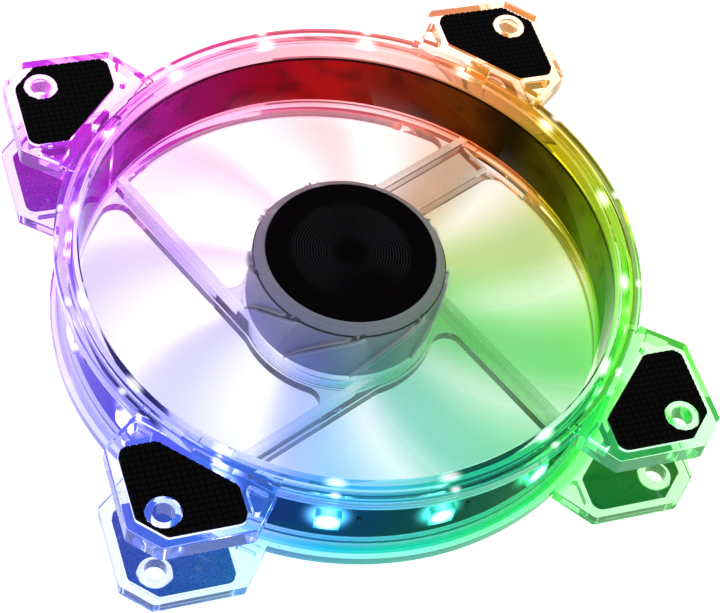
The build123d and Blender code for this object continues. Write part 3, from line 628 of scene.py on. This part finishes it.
def knurled_pad(node, outward, material):
    """The pad's own outline cut out of the studded block."""
    low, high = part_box(node)
    pad = add_object(node + "_tread", studded_slab(low, high, outward))
    cut = pad.modifiers.new("outline", "BOOLEAN")
    cut.operation = "INTERSECT"
    cut.solver = "EXACT"
    cut.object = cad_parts[node]
    graph = bpy.context.evaluated_depsgraph_get()
    mesh = bpy.data.meshes.new_from_object(pad.evaluated_get(graph))
    pad.modifiers.clear()
    pad.data = mesh
    mesh.materials.clear()
    mesh.materials.append(material)
    for face in mesh.polygons:
        face.use_smooth = False
        face.material_index = 0
    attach(pad, "frame")
    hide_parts(node)


def dome(form, profile):
    """A closed dome over a light that faces along x, from a profile of distance from its centre line and
    distance out."""
    top = form.verts.new((profile[0][1] * MM, 0, LED_HEIGHT * MM))
    rings = []
    for across, out in profile[1:]:
        ring = []
        for k in range(LENS_SIDES):
            angle = 2 * math.pi * k / LENS_SIDES
            place = (out, across * math.cos(angle), LED_HEIGHT + across * math.sin(angle))
            ring.append(form.verts.new(Vector(place) * MM))
        rings.append(ring)
    for k in range(LENS_SIDES):
        after = (k + 1) % LENS_SIDES
        form.faces.new((top, rings[0][k], rings[0][after]))
        for inner, outer in zip(rings, rings[1:]):
            form.faces.new((inner[k], outer[k], outer[after], inner[after]))
    form.faces.new(rings[-1][::-1])


def lens(number, material):
    """A shallow clear dome in the well of one light."""
    base = LED_RADIUS - LENS_SINK
    profile = [(LENS_RADIUS * math.sin(t), base + LENS_RISE * math.cos(t)) for t in LENS_SLOPES]
    form = bmesh.new()
    dome(form, profile)
    turn = Matrix.Rotation(math.radians(LED_FIRST + LED_PITCH * number), 3, "Z")
    bmesh.ops.rotate(form, verts=form.verts, cent=(0, 0, 0), matrix=turn)
    mesh = to_mesh(form, "lens")
    for face in mesh.polygons:
        face.use_smooth = len(face.vertices) < 5
    mesh.materials.append(material)
    ob = add_object("led_lens_%02d" % (number + 1), mesh)
    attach(ob, "frame")


# ---------------------------------------------------------------- floor, light, camera

# name, place in metres, width of the square, watts
LAMPS = (
    ("key", (-0.35, 0.35, 0.8), 0.6, 2.0),
    ("fill", (0.5, -0.3, 0.7), 0.7, 1.0),
)


def paper_floor():
    """Pale paper under the fan."""
    mesh = bpy.data.meshes.new("floor")
    half = 3.0
    corners = [(-half, -half, 0), (half, -half, 0), (half, half, 0), (-half, half, 0)]
    mesh.from_pydata(corners, [], [(0, 1, 2, 3)])
    floor = add_object("floor", mesh)
    tree = Tree("floor_paper")
    paper = tree.mix(tree.noise(3, 2), (0.93, 0.93, 0.93), (0.95, 0.95, 0.95))
    tree.feed(tree.shader.inputs["Base Color"], paper)
    tree.shader.inputs["Roughness"].default_value = 0.9
    tree.shader.inputs["Specular IOR Level"].default_value = 0.0
    tree.shader.inputs["Emission Color"].default_value = (1, 1, 1, 1)
    tree.shader.inputs["Emission Strength"].default_value = 0.8
    mesh.materials.append(tree.material)


def sky():
    """White light from all sides, dim overhead so that gloss black stays black."""
    world = bpy.data.worlds.new("studio")
    bpy.context.scene.world = world
    world.use_nodes = True
    background = world.node_tree.nodes["Background"]
    nodes = world.node_tree.nodes
    links = world.node_tree.links
    split = nodes.new("ShaderNodeSeparateXYZ")
    shade = nodes.new("ShaderNodeValToRGB")
    links.new(nodes.new("ShaderNodeTexCoord").outputs["Generated"], split.inputs[0])
    links.new(split.outputs[2], shade.inputs[0])
    links.new(shade.outputs["Color"], background.inputs["Color"])
    shade.color_ramp.elements[0].color = (1, 1, 1, 1)
    shade.color_ramp.elements[0].position = 0.1
    shade.color_ramp.elements[1].color = (0.15, 0.15, 0.15, 1)
    shade.color_ramp.elements[1].position = 0.7
    background.inputs["Strength"].default_value = 1.0


def lamps():
    for name, place, size, power in LAMPS:
        lamp = bpy.data.lights.new(name, "AREA")
        lamp.shape = "SQUARE"
        lamp.size = size
        lamp.energy = power
        ob = bpy.data.objects.new(name, lamp)
        ob.location = place
        ob.rotation_euler = (-Vector(place)).to_track_quat("-Z", "Y").to_euler()
        bpy.context.scene.collection.objects.link(ob)


CAMERA_PLACE = Vector((-129.86, -253.56, 382.01)) * MM
CAMERA_AIM = Vector((-3.0, -15.0, 25.0)) * MM
CAMERA_ROLL = math.radians(13.67)
CAMERA_LENS = 112.9        # for a sensor 36 mm wide


def camera():
    data = bpy.data.cameras.new("camera")
    data.lens = CAMERA_LENS
    data.sensor_width = 36.0
    data.clip_start = 0.01
    ob = bpy.data.objects.new("camera", data)
    bpy.context.scene.collection.objects.link(ob)
    turned = (CAMERA_AIM - CAMERA_PLACE).to_track_quat("-Z", "Y").to_matrix()
    turned = turned @ Matrix.Rotation(CAMERA_ROLL, 3, "Z")
    ob.matrix_world = Matrix.Translation(CAMERA_PLACE) @ turned.to_4x4()
    bpy.context.scene.camera = ob


# ---------------------------------------------------------------- put it together

# nodes, name of their material, its two colours, scale of its grain, roughness, metallic
PLAIN_PIECES = (
    (("strip_resistors",), "chip_ceramic", (0.02, 0.02, 0.02), (0.05, 0.05, 0.05), 800, 0.4, 0.0),
    (("rotor_yoke",), "yoke_steel", (0.45, 0.46, 0.48), (0.55, 0.56, 0.58), 300, 0.35, 1.0),
    (("rotor_magnet",), "magnet_ferrite", (0.03, 0.03, 0.035), (0.06, 0.06, 0.065), 900, 0.7, 0.0),
    (("shaft",), "shaft_steel", (0.6, 0.6, 0.62), (0.7, 0.7, 0.72), 400, 0.15, 1.0),
    (("retaining_clip",), "clip_plastic", (0.75, 0.75, 0.72), (0.85, 0.85, 0.82), 400, 0.5, 0.0),
    (("bearing_sleeve",), "sintered_bronze", (0.45, 0.28, 0.12), (0.60, 0.40, 0.20), 2500, 0.5, 1.0),
    (("thrust_pad",), "white_polymer", (0.80, 0.80, 0.76), (0.9, 0.9, 0.86), 500, 0.4, 0.0),
    (("oil_seal",), "black_polymer", (0.02, 0.02, 0.02), (0.05, 0.05, 0.05), 500, 0.4, 0.0),
    (("stator_core",), "lamination_steel", (0.35, 0.36, 0.38), (0.5, 0.5, 0.52), 900, 0.4, 1.0),
    (("upper_insulator", "lower_insulator"), "bobbin_plastic",
     (0.75, 0.76, 0.74), (0.85, 0.86, 0.84), 500, 0.45, 0.0),
    (("coil_1", "coil_2", "coil_3", "coil_4"), "copper_wire",
     (0.55, 0.20, 0.06), (0.75, 0.35, 0.14), 1500, 0.3, 1.0),
    (("motor_board",), "circuit_board", (0.02, 0.16, 0.07), (0.03, 0.22, 0.10), 300, 0.35, 0.0),
    (("driver_chip", "board_resistors"), "chip_black",
     (0.012, 0.012, 0.013), (0.03, 0.03, 0.032), 900, 0.45, 0.0),
    (("board_capacitor",), "chip_tan", (0.45, 0.33, 0.20), (0.55, 0.42, 0.28), 900, 0.5, 0.0),
    (("rear_label",), "rear_sticker", (0.80, 0.80, 0.82), (0.86, 0.86, 0.88), 600, 0.4, 0.0),
)

bpy.context.scene.view_settings.view_transform = "Standard"
paper_floor()
sky()
lamps()
camera()

for side, glow in (("rear", 0.12), ("front", 0.18)):
    solid = clear_plastic("clear_" + side, glow, False)
    dress_frame(side + "_frame", solid, clear_plastic("clear_%s_wall" % side, glow, True))
dress("led_strip", strip_film())
dress_impeller()
dress("hub_label", gloss_label())
body = led_body()
for number in range(1, LED_COUNT + 1):
    dress("led_%02d" % number, body)
lens_material = led_lens()
for number in range(LED_COUNT):
    lens(number, lens_material)
front_rubber = rubber("front_rubber", 0.0)
for number, back_light in enumerate(REAR_PAD_LIGHT, 1):
    knurled_pad("front_pad_%d" % number, 1, front_rubber)
    knurled_pad("rear_pad_%d" % number, -1, rubber("rear_rubber_%d" % number, back_light))
for nodes, name, colour, other, scale, roughness, metallic in PLAIN_PIECES:
    material = plain(name, colour, other, scale, roughness, metallic)
    for node in nodes:
        dress(node, material)
